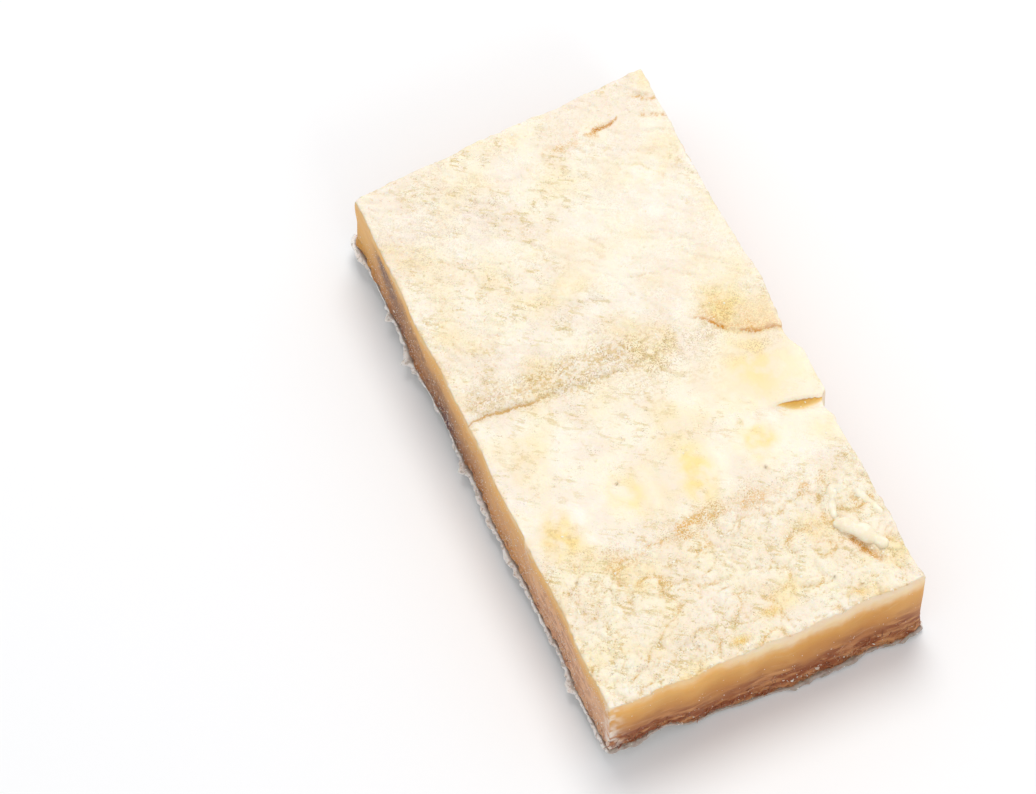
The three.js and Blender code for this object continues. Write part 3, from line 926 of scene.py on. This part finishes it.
def cloudy_finish(name, fixed, cloud, dark, light, dullness, relief, full_at=0.6):
    """A finish of two colours mixed by one noise, given by its size in mm and its detail."""
    finish, place, shader = new_finish(name, fixed)
    cloudy = place.cloud(cloud[0] * mm, cloud[1])
    colour = coated(shade(*dark), (cloudy.rise(0.4, full_at), light))
    feed(shader, colour, dullness[0] + cloudy * dullness[1], cloudy, relief * mm)
    return finish


ivory = ((0.89, 0.79, 0.60), (0.94, 0.88, 0.73))
roll_finish = cloudy_finish("curled_flakes", waxy, (2, 3), *ivory, (0.6, 0.2), 0.15, full_at=0.65)
curled_path = ((31.5, -62.8), (34.5, -65.5), (37.6, -68.8), (40, -72), (41.6, -75.3))
rolled_flake("curled_flake", curled_path, 4.6, 0.2, 51)
standing_path = ((39.5, -54.2), (36, -53.5), (33.8, -57.5), (32.6, -62))
loose_path = ((41, -56.5), (43.5, -60.5), (45, -66))
rolled_flake("standing_flake", standing_path, 2.8, -0.4, 54)
rolled_flake("loose_flake", loose_path, 2.6, -0.5, 57)


# The skin: left on under the flesh when the fish was split. It dried to a thin, scaly sheet, grey above
# and mottled below, and frayed into pale teeth and tags where the saw went through.
skin_thickness = 1.2
over_table = 0.05
skin_step = 0.6
fray_rings = 5
fray_reach = np.array([0.7, 1.2, 1.2, 1.1])  # by side, in the order front, right, far, left
# the long tags of the left edge: place along it, reach and width of each
long_tags = ((59, 1.4, 1.0), (44, 2.4, 0.9), (7, 2.0, 1.1), (-66, 1.8, 1.4), (27, 1.0, 1.6))


def frayed_reach(ring):
    """How far the frayed edge reaches past the foot of the flesh at each point of the outline."""
    x, y = ring.x, ring.y
    jags = bumps(x, y, 1.1, 104)
    teeth = 0.5 + 0.4 * jags + 0.8 * bumps(x, y, 2.2, 100) + 1.6 * bumps(x, y, 10, 101)
    teeth = np.clip(teeth, 0.06, 2)
    reach = fray_reach[ring.side] * teeth
    for at, tag_reach, width in long_tags:
        tag = np.sqrt(bell(y - at, width)) * (0.7 + 0.4 * jags)
        reach += (ring.side == left_side) * tag_reach * np.clip(tag, 0, 1)
    return reach


def skin_level(x, y, u, v):
    """Height of the skin's underside: flat on the table in the middle, lifted towards the outline."""
    from_middle = np.maximum(np.abs(u - 0.5), np.abs(v - 0.5)) * 2
    lifted = np.clip((from_middle - flat_share) / (1 - flat_share), 0, 1)
    return edge_lift(x, y) * lifted


skin_shell = Shell(["fray", "edge", "pale", "salted"])
skin_across = round(slab_width / skin_step)
skin_along = round(slab_length / skin_step)
u_grid, v_grid = even_grid(skin_across, skin_along)
under_x, under_y = plan_point(u_grid, v_grid)
under_z = skin_level(under_x, under_y, u_grid, v_grid)
wrinkle = smooth(bumps(under_x + 0.5 * under_y, under_y * 0.4, 3.2, 102), 0, 0.5)
from_rim = np.minimum(np.minimum(u_grid, 1 - u_grid), np.minimum(v_grid, 1 - v_grid))
wrinkle_height = 0.35
under_z += wrinkle_height * wrinkle * smooth(from_rim, 0, 0.03)
underside = skin_shell.add(under_x, under_y, under_z, {})
skin_ring = ring_round_slab(skin_across, skin_along)
low_rim = rim_of(underside)
foot_x = skin_ring.x + skin_ring.out_x * skin_ring.foot
foot_y = skin_ring.y + skin_ring.out_y * skin_ring.foot
lift = edge_lift(foot_x, foot_y)
skin_shell.points[0][low_rim] = np.stack([foot_x, foot_y, lift], axis=-1)
skin_shell.sheet(underside, facing_up=False)
reach = frayed_reach(skin_ring)
curl = 0.6 * bumps(foot_x, foot_y, 2.5, 103) + 0.3


def fray_ring(share, thickness):
    """One ring of the frayed edge, from 0 at the foot of the flesh to 1 at the tips of the teeth."""
    far_out = reach * share
    x = foot_x + skin_ring.out_x * far_out
    y = foot_y + skin_ring.out_y * far_out
    z = lift + thickness + curl * share**1.5
    pale = np.where(skin_ring.side == front_side, 0.25, 1.0)
    salted = pale * share * (thickness > 0) * smooth(bumps(foot_x, foot_y, 5, 105), -0.4, 0.2)
    stains = {"fray": share, "edge": 1.0, "pale": pale, "salted": salted}
    return skin_shell.add(x, y, np.maximum(z, over_table + thickness), stains)


lower = low_rim
for share in np.linspace(0, 1, fray_rings + 1)[1:]:
    outer = fray_ring(share, 0.0)
    skin_shell.join(outer, lower)
    lower = outer
for share in np.linspace(1, 0, fray_rings + 1):
    inner = fray_ring(share, skin_thickness * (0.3 + 0.65 * (1 - share)))
    skin_shell.join(inner, lower)
    lower = inner
top_x, top_y = flat_middle(skin_ring)
top_flat = skin_shell.add(top_x, top_y, np.full_like(top_x, skin_thickness), {})
skin_shell.join(top_flat, lower)
skin_shell.cap(top_flat, facing_up=True)
skin = skin_shell.mesh_object("frayed_skin", shift)

leathery = {"Subsurface Weight": 0.08, "Subsurface Radius": (1.0, 0.6, 0.4), "Subsurface Scale": 1 * mm}
skin_finish, place, shader = new_finish("frayed_skin", leathery)
blotches = place.cloud(7 * mm, 5, stretch=(1, 1.6, 1))
fine = place.cloud(1.0 * mm, 3)
scales = place.grains(1.3 * mm)
sideways = place.node("ShaderNodeSeparateXYZ", {}, {"Vector": place}, output="X")
back = (sideways + (place.cloud(25 * mm, 3) - 0.5) * (60 * mm)).rise(-35 * mm, 40 * mm)
edge = place.painted("edge") * (0.3 + 0.7 * fine.rise(0.35, 0.6))
pale = place.painted("fray").rise(0, 0.6) * place.painted("pale") * (0.4 + 0.6 * fine.rise(0.36, 0.5))
colour = coated(
    shade(0.46, 0.43, 0.36),
    (back, (0.24, 0.21, 0.14)),
    (blotches.rise(0.48, 0.58) * (0.35 + back * 0.5), (0.13, 0.10, 0.06)),
    (scales.rise(0.3, 0.6) * 0.35, (0.50, 0.46, 0.38)),
    (fine.rise(0.57, 0.68) * 0.5, (0.66, 0.62, 0.55)),
    (edge, (0.30, 0.19, 0.14)),
    (pale, (0.93, 0.90, 0.87)),
)
roughness = 0.5 + fine * 0.25
feed(shader, colour, roughness, scales + fine * 0.5, 0.3 * mm)
skin.data.materials.append(skin_finish)
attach(skin, "root")
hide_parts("skin")


# Salt: coarse sea salt that dried onto the sawn sides and lodged in the crust. Each grain is a small,
# worn, slightly uneven block, half sunk where it sits.
def strewing_tree(name, mask, seed, finish, shape, lean, size_names):
    """Geometry Nodes that strew a small shape over a mesh, as thickly as a mask of the mesh says."""
    tree = bpy.data.node_groups.new(name, "GeometryNodeTree")
    new_socket = tree.interface.new_socket
    new_socket("Geometry", in_out="INPUT", socket_type="NodeSocketGeometry")
    sockets = {}
    for label in size_names:
        sockets[label] = new_socket(label, in_out="INPUT", socket_type="NodeSocketFloat").identifier
    new_socket("Geometry", in_out="OUTPUT", socket_type="NodeSocketGeometry")

    add = partial(new_node, tree)
    given = add("NodeGroupInput").outputs
    thick = add("GeometryNodeInputNamedAttribute", {"data_type": "FLOAT"}, {"Name": mask})
    dense = {0: thick.outputs[0], 1: given["Grains per area"]}
    dense = add("ShaderNodeMath", {"operation": "MULTIPLY"}, dense)
    points = add(
        "GeometryNodeDistributePointsOnFaces",
        inputs={"Mesh": given["Geometry"], "Density": dense.outputs[0], "Seed": seed},
    )
    block = add(*shape)
    ends = {2: given["Smallest"], 3: given["Largest"]}
    long = add("FunctionNodeRandomValue", inputs={**ends, "Seed": seed + 1})
    wide = add("FunctionNodeRandomValue", inputs={**ends, "Seed": seed + 3})
    tall = {0: long.outputs[1], 1: given["Tallness"]}
    tall = add("ShaderNodeMath", {"operation": "MULTIPLY"}, tall)
    size = {0: long.outputs[1], 1: wide.outputs[1], 2: tall.outputs[0]}
    size = add("ShaderNodeCombineXYZ", inputs=size)
    turn = add(
        "FunctionNodeRandomValue",
        {"data_type": "FLOAT_VECTOR"},
        {0: (lean[0], -0.4, -math.pi), 1: (lean[1], 0.4, math.pi), "Seed": seed + 2},
    )
    turned = add(
        "FunctionNodeRotateRotation",
        {"rotation_space": "LOCAL"},
        {"Rotation": points.outputs["Rotation"], "Rotate By": turn.outputs[0]},
    )
    strewn = add(
        "GeometryNodeInstanceOnPoints",
        {},
        {"Points": points.outputs["Points"], "Instance": block.outputs["Mesh"],
         "Rotation": turned.outputs[0], "Scale": size.outputs[0]},
    )
    real = add("GeometryNodeRealizeInstances", inputs={0: strewn.outputs[0]})
    dressed = add("GeometryNodeSetMaterial", inputs={"Geometry": real.outputs[0], "Material": finish})
    add("NodeGroupOutput", inputs={0: dressed.outputs[0]})
    return tree, sockets


def scattered(host, name, mask, finish, shape, lean, seed, per_area, smallest, largest, tallness):
    """Strews small shapes, of sizes in mm, over a piece and keeps them as a mesh of their own."""
    sizes = {"Grains per area": per_area / mm**2, "Smallest": smallest * mm,
             "Largest": largest * mm, "Tallness": tallness}
    tree, sockets = strewing_tree(name, mask, seed, finish, shape, lean, sizes)
    carrier = new_object(name + "_carrier", host.data)
    strewer = carrier.modifiers.new(name, "NODES")
    strewer.node_group = tree
    for label, value in sizes.items():
        strewer[sockets[label]] = value
    bpy.context.view_layer.update()
    shown = carrier.evaluated_get(bpy.context.evaluated_depsgraph_get())
    mesh = bpy.data.meshes.new_from_object(shown)
    carrier.modifiers.remove(strewer)
    bpy.data.objects.remove(carrier)
    mesh.name = name
    corners = np.empty(len(mesh.vertices) * 3, dtype=np.float32)
    mesh.vertices.foreach_get("co", corners)
    corners[2::3] = np.maximum(corners[2::3], lowest_corner)
    mesh.vertices.foreach_set("co", corners)
    piece = new_object(name, mesh)
    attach(piece, "root")


lowest_corner = 0.03 * mm
any_lean = (-0.5, 0.5)  # radians
lump = ("GeometryNodeMeshIcoSphere", {}, {"Radius": 0.5, "Subdivisions": 1})
salt_white = ((0.74, 0.64, 0.54), (0.90, 0.86, 0.80))
glassy = {"Specular IOR Level": 0.5}
salt_finish = cloudy_finish("salt", glassy, (1.5, 2), *salt_white, (0.3, 0.3), 0.05)
scattered(
    flesh, "salt_grains", "frost", salt_finish, lump, any_lean, seed=3,
    per_area=0.8, smallest=0.12, largest=0.45, tallness=0.6,
)
scattered(
    skin, "fringe_salt", "salted", salt_finish, lump, any_lean, seed=5,
    per_area=1.2, smallest=0.2, largest=0.55, tallness=0.7,
)


# Crumbs: dried scraps of muscle and crust that broke from the lumps and lie in the hollows of the face.
crust_cream = ((0.88, 0.76, 0.56), (0.92, 0.86, 0.74))
dry = {"Subsurface Weight": 0.1, "Subsurface Scale": 1 * mm}
crumb_finish = cloudy_finish("crumbs", dry, (3, 3), *crust_cream, (0.75, 0.1), 0.1, full_at=0.62)
scattered(
    flesh, "crumbs", "crumbs", crumb_finish, lump, any_lean, seed=11,
    per_area=0.45, smallest=0.3, largest=1.1, tallness=0.35,
)


# Fibres and frills: ends of muscle fibre and scraps of white membrane that the saw pulled loose along
# the foot of the sawn sides.
cone = {"Vertices": 5, "Radius Bottom": 0.5, "Radius Top": 0.08, "Depth": 1.0}
wisp = ("GeometryNodeMeshCone", {}, cone)
loose = {"Subsurface Weight": 0.2, "Subsurface Scale": 1 * mm}
brown = ((0.25, 0.09, 0.04), (0.50, 0.25, 0.13))
fibre_finish = cloudy_finish("fibres", loose, (4, 3), *brown, (0.45, 0.2), 0.05)
scattered(
    flesh, "loose_fibres", "fibres", fibre_finish, wisp, (1.2, 1.75), seed=21,
    per_area=0.5, smallest=0.15, largest=0.35, tallness=9,
)
buff = ((0.55, 0.36, 0.25), (0.82, 0.72, 0.62))
frill_finish = cloudy_finish("frills", loose, (4, 3), *buff, (0.45, 0.2), 0.05)
scattered(
    flesh, "loose_frills", "frills", frill_finish, lump, (0.3, 1.2), seed=31,
    per_area=0.1, smallest=0.5, largest=1.6, tallness=0.12,
)


# The table and the light: a plain white sheet under a large soft lamp from the far right, with a weaker
# one from the front.
half_table = 4.0
table_corners = [(x * half_table, y * half_table, 0) for x, y in ((-1, -1), (1, -1), (1, 1), (-1, 1))]
table_mesh = bpy.data.meshes.new("table")
table_mesh.from_pydata(table_corners, [], [(0, 1, 2, 3)])
table = new_object("table", table_mesh)
paper = {"Base Color": shade(0.90, 0.905, 0.92), "Roughness": 0.9}
table_mesh.materials.append(new_finish("paper", paper)[0])

world = bpy.data.worlds.new("studio")
world.use_nodes = True
surroundings = world.node_tree.nodes["Background"]
surroundings.inputs["Color"].default_value = shade(0.98, 0.985, 1)
surroundings.inputs["Strength"].default_value = 0.65
bpy.context.scene.world = world
bpy.context.scene.view_settings.view_transform = "Standard"


def soft_lamp(name, place, size, power):
    """A round lamp, in metres and watts, turned towards the middle of the table."""
    lamp = bpy.data.lights.new(name, "AREA")
    lamp.shape = "DISK"
    lamp.size = size
    lamp.energy = power
    lamp.color = (1, 0.985, 0.95)
    holder = new_object(name, lamp)
    holder.location = place
    holder.rotation_euler = (-Vector(place)).to_track_quat("-Z", "Y").to_euler()


soft_lamp("far_right_lamp", (0.26, 0.55, 1.36), 0.8, 10.85)
soft_lamp("front_lamp", (0.1, -1.25, 0.75), 0.7, 3.4)


# The camera stands where the photograph was taken from, over the near left, looking down at 62 degrees.
# It was fitted to the corners of the slab, and its own axes are given in the plan's directions.
photo_width = 1036
focal_pixels = 3600
camera_place = Vector((-195.4, -425.2, 900.1)) * mm + Vector(shift)
camera_right = Vector((0.91205843, -0.40900918, -0.02934122))
camera_down = Vector((-0.37375277, -0.79973573, -0.46982085))
camera_data = bpy.data.cameras.new("camera")
camera_data.lens = focal_pixels * camera_data.sensor_width / photo_width
camera = new_object("camera", camera_data)
camera_back = camera_right.cross(-camera_down)
turn = Matrix((camera_right, -camera_down, camera_back)).transposed()
camera.matrix_world = Matrix.Translation(camera_place) @ turn.to_4x4()
bpy.context.scene.camera = camera
